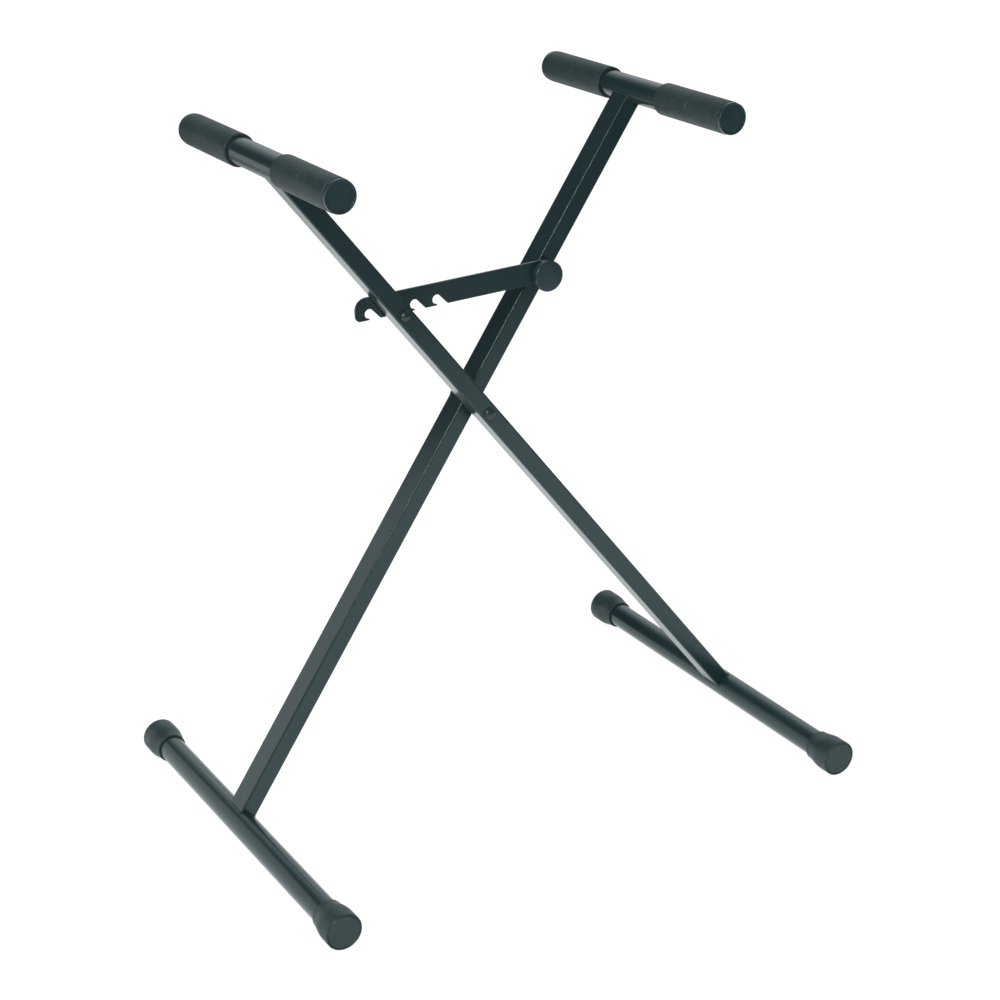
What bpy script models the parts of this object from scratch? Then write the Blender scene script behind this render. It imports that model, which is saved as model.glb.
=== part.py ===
"""Folding X-frame keyboard stand with a notched hook bar, modelled in metres, +Z up.

Two straight leg tubes cross at the main pivot. Each leg ends in a foot tube on the floor and an
arm tube at the top, both running front to back (Y). The hook bar turns on the rear leg and drops
over the catch pin of the front leg, which locks the stand open at one of four heights.
The front leg is the one nearer -Y. It leans to the left (-X), the rear leg to the right.
"""
import math

import bmesh
import bpy
from mathutils import Vector

# Clearance left between pieces that touch
GAP = 0.0003

# Chamfer on cap lips and shank tips
EDGE_CHAMFER = 0.0005

# Legs: rectangular tube, narrow side in the folding plane
LEG_LENGTH = 0.931          # foot tube axis to arm tube axis
PIVOT_UP = 0.540            # foot tube axis to the main pivot, along a leg
LEG_ANGLE = math.radians(53.75)   # from the floor, at the height the hook bar holds
LEG_WIDTH = 0.0202          # in the folding plane
LEG_DEPTH = 0.0300          # front to back
LEG_WALL = 0.0015
LEG_CORNER = 0.0020         # outer corner radius
LEG_CORNER_INSIDE = 0.0005
LEG_SPACE = 0.0138          # between the two legs' facing sides
CLEAR_BELOW_PIVOT = 0.0300  # a leg's flat sides are free for a clamp from here down to the foot

# Foot tubes and their bell-shaped rubber caps
FOOT_TUBE_D = 0.0300
TUBE_WALL = 0.0015
FOOT_LENGTH = 0.5040        # over both caps
FOOT_SHIFT = 0.0040         # each foot sits this far towards its own leg's side
CAP_LENGTH = 0.0400
CAP_D = 0.0418              # widest part of the bell
CAP_COLLAR_D = 0.0350       # lip round the tube
CAP_FLARE = 0.0240          # lip to widest part
CAP_FLOOR = 0.0060          # rubber between the tube's end and the outer face
CAP_ROUND = 0.0010          # rounding of the outer rim

# Arm tubes, their rubber sleeves and end plugs
ARM_TUBE_D = 0.0290
ARM_LENGTH = 0.3500         # over both end plugs
ARM_SHIFT = 0.0070          # each arm sits this far towards its own leg's side
SLEEVE_D = 0.0352
SLEEVE_LENGTH = 0.1340
SLEEVE_ROUND = 0.0008
PLUG_FLANGE = 0.0030        # thickness outside the tube
PLUG_INSET = 0.0006         # flange's radius below the sleeve's
PLUG_CHAMFER = 0.0006
PLUG_RIM = 0.0022           # raised rim round the outer face's dish
PLUG_RECESS = 0.0007        # depth of the dish
PLUG_STEM = 0.0140          # hollow stem inside the tube
PLUG_WALL = 0.0018

# Main pivot: domed bolt, spacer between two plastic washers, lock nut
BOLT_D = 0.0080             # main pivot and hook bar pivot
BOLT_HOLE_D = 0.0088
PIVOT_HEAD_D = 0.0142
PIVOT_HEAD_HIGH = 0.0042
PIVOT_SPACER_D = 0.0180
PIVOT_WASHER_D = 0.0198
PIVOT_WASHER_THICK = 0.0015
STEEL_WASHER_D = 0.0160
STEEL_WASHER_THICK = 0.0014
NUT_FLATS = 0.0130
NUT_HIGH = 0.0045
NUT_COLLAR_HIGH = 0.0014    # round part that holds the locking ring
NUT_COLLAR_D = 0.0122
BOLT_TIP = 0.0010           # thread left standing past the nut

# Catch pin on the front leg and hook bar pivot on the rear leg
CATCH_UP = 0.1637           # from the main pivot, along either leg
PIN_D = 0.0066              # catch pin, thinner than the bolts so it swings into the slots
PIN_HOLE_D = 0.0072
PIN_HEAD_D = 0.0120
PIN_HEAD_HIGH = 0.0044
CLIP_D = 0.0116
CLIP_THICK = 0.0008
CLIP_GROOVE_D = 0.0052
CLIP_MOUTH = math.radians(70)
PIN_TIP = 0.0012            # pin left standing past the clip
KNOB_D = 0.0340
KNOB_THICK = 0.0085
KNOB_ROUND = 0.0018
KNOB_BORE_DEPTH = 0.0065
BAR_SPACER_D = 0.0160
SOCKET_D = 0.0046           # hexagon recess of the hook bar bolt, across flats
SOCKET_DEPTH = 0.0018
HEAD_RIM = math.radians(11)       # where a head's dome starts above its seat

# Hook bar: flat steel with four slanted hook slots in its lower edge
BAR_WIDTH = 0.0254
BAR_THICK = 0.0030
BAR_OFF_LEG = 0.0024        # front leg's back side to the bar's front face
BAR_BELOW = 0.0079          # pivot line to the lower edge
HOOK_PITCH = 0.0273
HOOK_COUNT = 4
HOOK_ENGAGED = 2            # counted from the free end
HOOK_R = 0.0053             # round end of a slot
HOOK_MOUTH = 0.0090         # from a slot's right side to the tip of its hook, square to its run
HOOK_SLANT = math.radians(48)     # slot's run below the bar's length
HOOK_TIP_R = 0.0009
PIN_SEAT = math.radians(35)       # a slot's centre, seen from the pin in it, below the bar's length
BAR_NOSE_R = 0.0140         # upper corner at the free end
BAR_NOSE_REACH = 0.0162     # last slot's round centre to the free end
BAR_TOE_R = 0.0055          # lower corner at the free end

# Facet counts
ROUND_SIDES = 32            # large turned pieces
SMALL_SIDES = 24            # bolts, washers and spacers
ARC_STEPS = 8               # quarter round in a plate's outline
TIP_STEPS = 4               # rounded tip of a hook
CORNER_STEPS = 3            # quarter round at a tube's corner or a rim
EDGE_STEPS = 2              # quarter round at a sleeve's end
DOME_STEPS = 5              # bolt head from its rim to its top
FLARE_STEPS = 6             # cap from its lip to its widest part

# Positions worked out from the sizes above
RISE = math.sin(LEG_ANGLE)
RUN = math.cos(LEG_ANGLE)
FOOT_Z = CAP_D / 2
PIVOT_Z = FOOT_Z + PIVOT_UP * RISE
ARM_UP = LEG_LENGTH - PIVOT_UP
ARM_Z = PIVOT_Z + ARM_UP * RISE
FOOT_X = PIVOT_UP * RUN
ARM_X = ARM_UP * RUN
CATCH_Z = PIVOT_Z + CATCH_UP * RISE
CATCH_X = CATCH_UP * RUN
LEG_Y = (LEG_SPACE + LEG_DEPTH) / 2
LEG_INNER = LEG_SPACE / 2         # facing side of either leg, from the middle plane
LEG_OUTER = LEG_SPACE / 2 + LEG_DEPTH
BAR_FRONT = -LEG_INNER + BAR_OFF_LEG
BAR_BACK = BAR_FRONT + BAR_THICK


def clear_scene():
    for obj in list(bpy.data.objects):
        bpy.data.objects.remove(obj, do_unlink=True)


def material(name, colour, roughness, metallic):
    mat = bpy.data.materials.new(name)
    mat.use_nodes = True
    shader = mat.node_tree.nodes["Principled BSDF"]
    shader.inputs["Base Color"].default_value = (*colour, 1.0)
    shader.inputs["Roughness"].default_value = roughness
    shader.inputs["Metallic"].default_value = metallic
    mat.diffuse_color = (*colour, 1.0)
    return mat


def axis_empty(name, position, parent=None):
    empty = bpy.data.objects.new(name, None)
    empty.empty_display_type = "ARROWS"
    empty.empty_display_size = 0.05
    bpy.context.scene.collection.objects.link(empty)
    place(empty, position, parent=parent)
    return empty


def place(obj, position, lean=0.0, turn=0.0, parent=None):
    """Put an object at a world position; parents are unturned empties."""
    obj.rotation_euler = (0.0, lean, turn)
    obj.location = Vector(position)
    if parent is not None:
        obj.parent = parent
        above = parent
        while above is not None:
            obj.location -= above.location
            above = above.parent


def finish_mesh(name, bm, mat, smooth_angle=35):
    bmesh.ops.remove_doubles(bm, verts=bm.verts, dist=1e-7)
    bmesh.ops.recalc_face_normals(bm, faces=bm.faces)
    mesh = bpy.data.meshes.new(name)
    bm.to_mesh(mesh)
    bm.free()
    mesh.materials.append(mat)
    mesh.shade_smooth()
    mesh.set_sharp_from_angle(angle=math.radians(smooth_angle))
    obj = bpy.data.objects.new(name, mesh)
    bpy.context.scene.collection.objects.link(obj)
    return obj


def as_tool(obj):
    """Hide a Boolean cutter from renders."""
    obj.hide_render = True
    obj.display_type = "WIRE"
    return obj


def turned(name, outline, segments, mat):
    """Turn an outline of (radius, along) about local Y. It closes on itself or runs pole to pole."""
    bm = bmesh.new()
    rings = []
    for radius, along in outline:
        if radius == 0:
            rings.append([bm.verts.new((0.0, along, 0.0))])
            continue
        ring = []
        for i in range(segments):
            a = 2 * math.pi * i / segments
            ring.append(bm.verts.new((radius * math.cos(a), along, radius * math.sin(a))))
        rings.append(ring)
    pairs = list(zip(rings, rings[1:]))
    if outline[0][0] > 0:
        pairs.append((rings[-1], rings[0]))
    for one, two in pairs:
        for i in range(segments):
            j = (i + 1) % segments
            corners = [one[i % len(one)], one[j % len(one)], two[j % len(two)], two[i % len(two)]]
            bm.faces.new(list(dict.fromkeys(corners)))
    return finish_mesh(name, bm, mat)


def plate(name, outline, low, high, mat):
    """Extrude an outline of (x, z) points between two values of y."""
    bm = bmesh.new()
    front = [bm.verts.new((x, low, z)) for x, z in outline]
    back = [bm.verts.new((x, high, z)) for x, z in outline]
    bm.faces.new(front)
    bm.faces.new(list(reversed(back)))
    for i in range(len(outline)):
        j = (i + 1) % len(outline)
        bm.faces.new((front[j], front[i], back[i], back[j]))
    return finish_mesh(name, bm, mat)


def arc(centre, radius, start, end, steps):
    """Points on a circle arc, ends included; angles in radians."""
    points = []
    for i in range(steps + 1):
        a = start + (end - start) * i / steps
        points.append((centre[0] + radius * math.cos(a), centre[1] + radius * math.sin(a)))
    return points


def hexagon(flats):
    return arc((0, 0), flats / math.sqrt(3), 0, math.pi * 5 / 3, 5)


def rounded_rectangle(width, depth, corner, steps):
    """Corner points of a rounded rectangle centred on the origin, as (x, y)."""
    quarter = math.pi / 2
    points = []
    for k, (sx, sy) in enumerate(((1, 1), (-1, 1), (-1, -1), (1, -1))):
        centre = (sx * (width / 2 - corner), sy * (depth / 2 - corner))
        points += arc(centre, corner, k * quarter, (k + 1) * quarter, steps)
    return points


def cutter(name, radius, length, position, parent=None, segments=ROUND_SIDES):
    obj = turned(name, [(0, -length / 2), (radius, -length / 2), (radius, length / 2), (0, length / 2)],
                 segments, PAINT)
    place(obj, position, parent=parent)
    return as_tool(obj)


def cut(obj, tool):
    mod = obj.modifiers.new(tool.name, "BOOLEAN")
    mod.operation = "DIFFERENCE"
    mod.solver = "EXACT"
    mod.object = tool


def leg(name, side, parent):
    """Rectangular tube with coped ends and bolt holes. side is -1 at the front, +1 at the rear."""
    outer = rounded_rectangle(LEG_WIDTH, LEG_DEPTH, LEG_CORNER, CORNER_STEPS)
    inner = rounded_rectangle(LEG_WIDTH - 2 * LEG_WALL, LEG_DEPTH - 2 * LEG_WALL, LEG_CORNER_INSIDE,
                              CORNER_STEPS)
    stations = (-PIVOT_UP, -CLEAR_BELOW_PIVOT, ARM_UP)
    bm = bmesh.new()
    outside = [[bm.verts.new((x, y, along)) for x, y in outer] for along in stations]
    inside = [[bm.verts.new((x, y, along)) for x, y in inner] for along in (ARM_UP, -PIVOT_UP)]
    loops = outside + inside
    for one, two in zip(loops, loops[1:] + loops[:1]):
        for i in range(len(outer)):
            j = (i + 1) % len(outer)
            bm.faces.new((one[i], one[j], two[j], two[i]))
    obj = finish_mesh(name, bm, PAINT)
    place(obj, (0, side * LEG_Y, PIVOT_Z), lean=side * (math.pi / 2 - LEG_ANGLE), parent=parent)
    through = 2 * LEG_DEPTH
    cope_foot = cutter(name + "_cope_foot", FOOT_TUBE_D / 2 + GAP, through,
                       (-side * FOOT_X, side * LEG_Y, FOOT_Z), parent)
    cope_arm = cutter(name + "_cope_arm", ARM_TUBE_D / 2 + GAP, through,
                      (side * ARM_X, side * LEG_Y, ARM_Z), parent)
    pivot_hole = cutter(name + "_pivot_hole", BOLT_HOLE_D / 2, through,
                        (0, side * LEG_Y, PIVOT_Z), parent, SMALL_SIDES)
    catch_hole = cutter(name + "_catch_hole", (PIN_HOLE_D if side < 0 else BOLT_HOLE_D) / 2, through,
                        (side * CATCH_X, side * LEG_Y, CATCH_Z), parent, SMALL_SIDES)
    for tool in (cope_foot, cope_arm, pivot_hole, catch_hole):
        cut(obj, tool)
    return obj


def round_tube(name, diameter, length, position, parent):
    """Open round tube along Y, centred on its position."""
    outer = diameter / 2
    inner = outer - TUBE_WALL
    half = length / 2
    obj = turned(name, [(inner, -half), (outer, -half), (outer, half), (inner, half)], ROUND_SIDES, PAINT)
    place(obj, position, parent=parent)
    return obj


def foot_cap(name, position, end, parent):
    """Bell-shaped cap pushed over a foot tube; its outer face is at the position, end is -1 or +1."""
    lip = CAP_COLLAR_D / 2
    widest = CAP_D / 2
    bore = FOOT_TUBE_D / 2 + GAP
    outline = [(bore, CAP_LENGTH), (lip - EDGE_CHAMFER, CAP_LENGTH), (lip, CAP_LENGTH - EDGE_CHAMFER)]
    for i in range(1, FLARE_STEPS + 1):
        u = i / FLARE_STEPS
        swell = (1 - math.cos(math.pi * u)) / 2
        outline.append((lip + (widest - lip) * swell, CAP_LENGTH - CAP_FLARE * u))
    outline += arc((widest - CAP_ROUND, CAP_ROUND), CAP_ROUND, 0, -math.pi / 2, CORNER_STEPS)
    outline.append((0, 0))
    inside = [(0, CAP_FLOOR), (bore, CAP_FLOOR)]
    obj = turned(name, inside + outline, ROUND_SIDES, RUBBER)
    place(obj, position, turn=0 if end < 0 else math.pi, parent=parent)
    return obj


def sleeve(name, position, end, parent):
    """Rubber sleeve over an arm tube; its outer end is at the position."""
    bore = ARM_TUBE_D / 2 + GAP
    outer = SLEEVE_D / 2
    r = SLEEVE_ROUND
    outline = [(bore, 0)]
    outline += arc((outer - r, r), r, -math.pi / 2, 0, EDGE_STEPS)
    outline += arc((outer - r, SLEEVE_LENGTH - r), r, 0, math.pi / 2, EDGE_STEPS)
    outline.append((bore, SLEEVE_LENGTH))
    obj = turned(name, outline, ROUND_SIDES, RUBBER)
    place(obj, position, turn=0 if end < 0 else math.pi, parent=parent)
    return obj


def end_plug(name, position, end, parent):
    """Plug pushed into an arm tube; its outer face is at the position."""
    flange = SLEEVE_D / 2 - PLUG_INSET
    stem = ARM_TUBE_D / 2 - TUBE_WALL - GAP
    depth = PLUG_FLANGE + PLUG_STEM
    dish = flange - PLUG_RIM
    outline = [(0, PLUG_FLANGE), (stem - PLUG_WALL, PLUG_FLANGE), (stem - PLUG_WALL, depth), (stem, depth),
               (stem, PLUG_FLANGE), (flange, PLUG_FLANGE)]
    outline += [(flange, PLUG_CHAMFER), (flange - PLUG_CHAMFER, 0), (dish + PLUG_RECESS, 0),
                (dish, PLUG_RECESS), (0, PLUG_RECESS)]
    obj = turned(name, outline, ROUND_SIDES, PLASTIC)
    place(obj, position, turn=0 if end < 0 else math.pi, parent=parent)
    return obj


def ring(name, outer_d, bore_d, low, high, position, mat, parent):
    """Washer or spacer along Y between two world values of y."""
    outline = [(bore_d / 2, low), (outer_d / 2, low), (outer_d / 2, high), (bore_d / 2, high)]
    obj = turned(name, outline, SMALL_SIDES, mat)
    place(obj, position, parent=parent)
    return obj


def hexagon_tool(name, flats, low, high, position, parent):
    tool = plate(name, hexagon(flats), low, high, STEEL)
    place(tool, position, parent=parent)
    return as_tool(tool)


def domed_bolt(name, shank_d, head_d, head_high, seat, reach, position, facing, parent, groove=None):
    """Domed bolt along Y. seat is the head's underside and reach the shank's tip, in world y.

    facing is -1 where the head looks to the front. groove is (low, high) of a clip groove.
    """
    head_r = head_d / 2
    shank = shank_d / 2
    outline = [(0, reach), (shank - EDGE_CHAMFER, reach), (shank, reach + facing * EDGE_CHAMFER)]
    if groove:
        neck = CLIP_GROOVE_D / 2
        outline += [(shank, groove[1]), (neck, groove[1]), (neck, groove[0]), (shank, groove[0])]
    outline += [(shank, seat), (head_r, seat)]
    for i in range(DOME_STEPS):
        a = HEAD_RIM + (math.pi / 2 - HEAD_RIM) * i / DOME_STEPS
        outline.append((head_r * math.cos(a), seat + facing * head_high * math.sin(a)))
    outline.append((0, seat + facing * head_high))
    obj = turned(name, outline, SMALL_SIDES, STEEL)
    place(obj, position, parent=parent)
    return obj


def lock_nut(name, low, position, parent):
    """Hexagon lock nut along Y with a round collar at its outer end."""
    shoulder = low + NUT_HIGH - NUT_COLLAR_HIGH
    body = plate(name, hexagon(NUT_FLATS), low, shoulder, STEEL)
    place(body, position, parent=parent)
    top = cutter(name + "_collar", NUT_COLLAR_D / 2, 2 * NUT_COLLAR_HIGH,
                 (position[0], shoulder, position[2]), parent, SMALL_SIDES)
    join = body.modifiers.new("collar", "BOOLEAN")
    join.operation = "UNION"
    join.solver = "EXACT"
    join.object = top
    bore = cutter(name + "_bore", BOLT_D / 2 + GAP, NUT_HIGH * 3,
                  (position[0], low + NUT_HIGH / 2, position[2]), parent, SMALL_SIDES)
    cut(body, bore)
    return body


def slot_points(centre_x, centre_z):
    """One hook slot, from its right mouth corner round to the tip of the hook, in bar coordinates."""
    lower = -BAR_BELOW
    run = (math.cos(HOOK_SLANT), -math.sin(HOOK_SLANT))
    normal = (math.sin(HOOK_SLANT), math.cos(HOOK_SLANT))
    right = (centre_x + HOOK_R * normal[0], centre_z + HOOK_R * normal[1])
    right_foot = right[0] + run[0] * (right[1] - lower) / -run[1]
    inset = HOOK_MOUTH - HOOK_R
    start = math.atan2(normal[1], normal[0])
    sweep = math.pi + math.acos(inset / HOOK_R)
    round_end = arc((centre_x, centre_z), HOOK_R, start, start + sweep, 3 * ARC_STEPS)
    aside = -inset - HOOK_TIP_R
    to_edge = (centre_z + aside * normal[1] - lower - HOOK_TIP_R) / -run[1]
    along = max(to_edge, math.sqrt(HOOK_R ** 2 - inset ** 2) + GAP / 2)
    tip_centre = (centre_x + along * run[0] + aside * normal[0], lower + HOOK_TIP_R)
    tip = arc(tip_centre, HOOK_TIP_R, start, -math.pi / 2, TIP_STEPS)
    return [(right_foot, lower)] + round_end + tip


def hook_bar_outline():
    """Outline in (x, z) from the bar's pivot; the free end points to -X."""
    lower = -BAR_BELOW
    upper = BAR_WIDTH - BAR_BELOW
    end_r = BAR_WIDTH / 2
    slack = HOOK_R - PIN_D / 2 - GAP
    engaged_x = -2 * CATCH_X + slack * math.cos(PIN_SEAT)
    engaged_z = -slack * math.sin(PIN_SEAT)
    points = arc((0, upper - end_r), end_r, math.pi / 2, -math.pi / 2, 2 * ARC_STEPS)
    for i in range(HOOK_COUNT):
        centre = engaged_x + (HOOK_COUNT - HOOK_ENGAGED - i) * HOOK_PITCH
        points += slot_points(centre, engaged_z)
    last = engaged_x + (1 - HOOK_ENGAGED) * HOOK_PITCH - BAR_NOSE_REACH
    points += arc((last + BAR_TOE_R, lower + BAR_TOE_R), BAR_TOE_R, -math.pi / 2, -math.pi, ARC_STEPS)
    points += arc((last + BAR_NOSE_R, upper - BAR_NOSE_R), BAR_NOSE_R, math.pi, math.pi / 2, ARC_STEPS)
    return points


def hook_bar(parent):
    obj = plate("hook_bar", hook_bar_outline(), BAR_FRONT, BAR_BACK, PAINT)
    place(obj, (CATCH_X, 0, CATCH_Z), parent=parent)
    hole = cutter("hook_bar_hole", BOLT_D / 2 + GAP, 4 * BAR_THICK,
                  (CATCH_X, (BAR_FRONT + BAR_BACK) / 2, CATCH_Z), parent, SMALL_SIDES)
    cut(obj, hole)
    return obj


def hook_knob(position, parent):
    """Round knob on the hook bar's pivot bolt, with a blind bore for the bolt."""
    r = KNOB_D / 2
    back = BAR_FRONT - GAP
    front = back - KNOB_THICK
    bore = BOLT_D / 2 + GAP
    outline = [(0, back - KNOB_BORE_DEPTH), (bore, back - KNOB_BORE_DEPTH), (bore, back), (r, back)]
    outline += arc((r - KNOB_ROUND, front + KNOB_ROUND), KNOB_ROUND, 0, -math.pi / 2, CORNER_STEPS)
    outline.append((0, front))
    obj = turned("hook_knob", outline, ROUND_SIDES, PLASTIC)
    place(obj, position, parent=parent)
    return obj


def catch_clip(low, position, parent):
    """Open retaining ring in the catch pin's groove, its mouth turned down."""
    inner = CLIP_GROOVE_D / 2 + GAP
    middle = -math.pi / 2
    start = middle + CLIP_MOUTH / 2
    end = middle - CLIP_MOUTH / 2 + 2 * math.pi
    points = arc((0, 0), CLIP_D / 2, start, end, 2 * ARC_STEPS)
    points += arc((0, 0), inner, end, start, 2 * ARC_STEPS)
    obj = plate("catch_pin_clip", points, low, low + CLIP_THICK, STEEL)
    place(obj, position, parent=parent)
    return obj


def frame_half(label, side, parent):
    """One leg with its foot tube, arm tube, caps, sleeves and plugs."""
    leg(label + "_leg", side, parent)
    foot_y = side * FOOT_SHIFT
    arm_y = side * ARM_SHIFT
    foot_x = -side * FOOT_X
    arm_x = side * ARM_X
    foot_tube_length = FOOT_LENGTH - 2 * (CAP_FLOOR + GAP)
    arm_tube_length = ARM_LENGTH - 2 * (PLUG_FLANGE + GAP)
    round_tube(label + "_foot_tube", FOOT_TUBE_D, foot_tube_length, (foot_x, foot_y, FOOT_Z), parent)
    round_tube(label + "_arm_tube", ARM_TUBE_D, arm_tube_length, (arm_x, arm_y, ARM_Z), parent)
    for end, where in ((-1, "near"), (1, "far")):
        foot_end = (foot_x, foot_y + end * FOOT_LENGTH / 2, FOOT_Z)
        arm_end = (arm_x, arm_y + end * ARM_LENGTH / 2, ARM_Z)
        sleeve_end = (arm_x, arm_y + end * (ARM_LENGTH / 2 - PLUG_FLANGE - GAP), ARM_Z)
        foot_cap(f"{label}_foot_cap_{where}", foot_end, end, parent)
        sleeve(f"{label}_arm_sleeve_{where}", sleeve_end, end, parent)
        end_plug(f"{label}_arm_plug_{where}", arm_end, end, parent)


def main_pivot():
    """Bolt through both legs, fixed to the front leg, with spacer, washers and lock nut."""
    at = (0, 0, PIVOT_Z)
    bore = BOLT_D + 2 * GAP
    washer_back = LEG_OUTER + GAP + STEEL_WASHER_THICK
    nut_low = washer_back + GAP
    domed_bolt("pivot_bolt", BOLT_D, PIVOT_HEAD_D, PIVOT_HEAD_HIGH, -LEG_OUTER - GAP,
               nut_low + NUT_HIGH + BOLT_TIP, at, -1, None)
    inner = LEG_INNER - GAP
    ring("pivot_washer_front", PIVOT_WASHER_D, bore, -inner, -inner + PIVOT_WASHER_THICK, at, PLASTIC, None)
    ring("pivot_washer_rear", PIVOT_WASHER_D, bore, inner - PIVOT_WASHER_THICK, inner, at, PLASTIC, None)
    half = inner - PIVOT_WASHER_THICK - GAP
    ring("pivot_spacer", PIVOT_SPACER_D, bore, -half, half, at, STEEL, None)
    ring("pivot_nut_washer", STEEL_WASHER_D, bore, LEG_OUTER + GAP, washer_back, at, STEEL, None)
    lock_nut("pivot_nut", nut_low, at, None)


def catch_pin():
    """Pin through the front leg that the hooks drop over, with washer and retaining clip."""
    at = (-CATCH_X, 0, CATCH_Z)
    clip_low = BAR_BACK + 2 * GAP
    groove = (clip_low - GAP, clip_low + CLIP_THICK + GAP)
    domed_bolt("catch_pin", PIN_D, PIN_HEAD_D, PIN_HEAD_HIGH, -LEG_OUTER - GAP, groove[1] + PIN_TIP, at, -1,
               None, groove)
    ring("catch_pin_washer", STEEL_WASHER_D, PIN_D + 2 * GAP, -LEG_INNER + GAP,
         -LEG_INNER + GAP + STEEL_WASHER_THICK, at, STEEL, None)
    catch_clip(clip_low, at, None)


def hook_pivot(parent):
    """Bolt through the rear leg, spacer and hook bar, screwed into the knob."""
    at = (CATCH_X, 0, CATCH_Z)
    bore = BOLT_D + 2 * GAP
    tip = BAR_FRONT - GAP - KNOB_BORE_DEPTH + GAP
    washer_low = LEG_OUTER + GAP
    seat = washer_low + STEEL_WASHER_THICK + GAP
    bolt = domed_bolt("hook_pivot_bolt", BOLT_D, PIVOT_HEAD_D, PIVOT_HEAD_HIGH, seat, tip, at, 1, parent)
    top = seat + PIVOT_HEAD_HIGH
    socket = hexagon_tool("hook_pivot_socket", SOCKET_D, top - SOCKET_DEPTH, top + SOCKET_DEPTH, at, parent)
    cut(bolt, socket)
    ring("hook_pivot_washer", STEEL_WASHER_D, bore, washer_low, washer_low + STEEL_WASHER_THICK, at, STEEL,
         parent)
    ring("hook_pivot_spacer", BAR_SPACER_D, bore, BAR_BACK + GAP, LEG_INNER - GAP, at, STEEL, parent)
    hook_knob(at, parent)


clear_scene()
PAINT = material("black_paint", (0.021, 0.030, 0.033), 0.32, 0.0)
RUBBER = material("grey_black_rubber", (0.040, 0.048, 0.050), 0.78, 0.0)
PLASTIC = material("black_plastic", (0.020, 0.027, 0.029), 0.50, 0.0)
STEEL = material("dark_plated_steel", (0.16, 0.17, 0.175), 0.35, 1.0)

fold_axis = axis_empty("leg_fold_axis", (0, 0, PIVOT_Z))
lift_axis = axis_empty("hook_lift_axis", (CATCH_X, 0, CATCH_Z), fold_axis)
frame_half("front", -1, None)
frame_half("rear", 1, fold_axis)
main_pivot()
catch_pin()
hook_pivot(fold_axis)
hook_bar(lift_axis)
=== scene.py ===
"""Finishes the folding keyboard stand: fine tubes, rubber caps and sleeves, hook bar, fasteners and
weld beads over the fixed frame, their paint, rubber, plastic and steel, and a pale studio."""
import math

import bmesh
import bpy
from mathutils import Matrix, Vector


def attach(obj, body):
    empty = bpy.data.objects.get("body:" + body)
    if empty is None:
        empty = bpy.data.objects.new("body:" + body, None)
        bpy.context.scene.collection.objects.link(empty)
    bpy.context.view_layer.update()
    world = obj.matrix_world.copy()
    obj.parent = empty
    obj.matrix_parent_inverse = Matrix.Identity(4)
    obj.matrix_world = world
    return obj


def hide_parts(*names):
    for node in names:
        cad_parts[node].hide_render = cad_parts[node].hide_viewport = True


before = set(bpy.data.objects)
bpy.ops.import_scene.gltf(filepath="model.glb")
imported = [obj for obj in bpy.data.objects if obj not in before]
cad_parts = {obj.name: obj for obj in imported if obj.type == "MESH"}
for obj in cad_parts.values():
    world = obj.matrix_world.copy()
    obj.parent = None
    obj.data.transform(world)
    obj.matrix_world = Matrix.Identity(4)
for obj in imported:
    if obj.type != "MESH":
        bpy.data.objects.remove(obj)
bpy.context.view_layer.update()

# Stand sizes in metres, the same as the solids' but for the four that say so
GAP = 0.0003
EDGE_CHAMFER = 0.0005
LEG_LENGTH = 0.931
PIVOT_UP = 0.540
LEG_ANGLE = math.radians(53.75)
LEG_WIDTH = 0.0202
LEG_DEPTH = 0.0300
LEG_WALL = 0.0015
LEG_CORNER = 0.0020
LEG_CORNER_INSIDE = 0.0005
LEG_SPACE = 0.0138
FOOT_TUBE_D = 0.0300
TUBE_WALL = 0.0015
FOOT_LENGTH = 0.5040
FOOT_SHIFT = 0.0040
CAP_LENGTH = 0.0400
CAP_D = 0.0418
CAP_COLLAR_D = 0.0350
CAP_FLARE = 0.0240
CAP_FLOOR = 0.0060
CAP_ROUND = 0.0010
ARM_TUBE_D = 0.0290
ARM_LENGTH = 0.3550         # 0.3500 in the solids, with thinner plug flanges
ARM_SHIFT = 0.0070
SLEEVE_D = 0.0352
SLEEVE_LENGTH = 0.1165      # 0.1340 in the solids, longer at the inner end
SLEEVE_ROUND = 0.0008
PLUG_FLANGE = 0.0055        # 0.0030 in the solids
PLUG_INSET = 0.0006
PLUG_CHAMFER = 0.0006
PLUG_RIM = 0.0022
PLUG_RECESS = 0.0007
PLUG_STEM = 0.0140
PLUG_WALL = 0.0018
BOLT_D = 0.0080
BOLT_HOLE_D = 0.0088
PIVOT_HEAD_D = 0.0142
PIVOT_HEAD_HIGH = 0.0042
PIVOT_SPACER_D = 0.0180
PIVOT_WASHER_D = 0.0198
PIVOT_WASHER_THICK = 0.0015
STEEL_WASHER_D = 0.0160
STEEL_WASHER_THICK = 0.0014
NUT_FLATS = 0.0130
NUT_HIGH = 0.0045
NUT_COLLAR_HIGH = 0.0014
NUT_COLLAR_D = 0.0122
BOLT_TIP = 0.0010
CATCH_UP = 0.1637
PIN_D = 0.0066
PIN_HOLE_D = 0.0072
PIN_HEAD_D = 0.0120
PIN_HEAD_HIGH = 0.0044
CLIP_D = 0.0116
CLIP_THICK = 0.0008
CLIP_GROOVE_D = 0.0052
CLIP_MOUTH = math.radians(70)
PIN_TIP = 0.0012
KNOB_D = 0.0350             # 0.0340 in the solids
KNOB_THICK = 0.0085
KNOB_ROUND = 0.0018
KNOB_BORE_DEPTH = 0.0065
BAR_SPACER_D = 0.0160
SOCKET_D = 0.0046
SOCKET_DEPTH = 0.0018
BAR_WIDTH = 0.0254
BAR_THICK = 0.0030
BAR_OFF_LEG = 0.0024
BAR_BELOW = 0.0079
HOOK_PITCH = 0.0273
HOOK_COUNT = 4
HOOK_ENGAGED = 2
HOOK_R = 0.0053
HOOK_MOUTH = 0.0090
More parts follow.
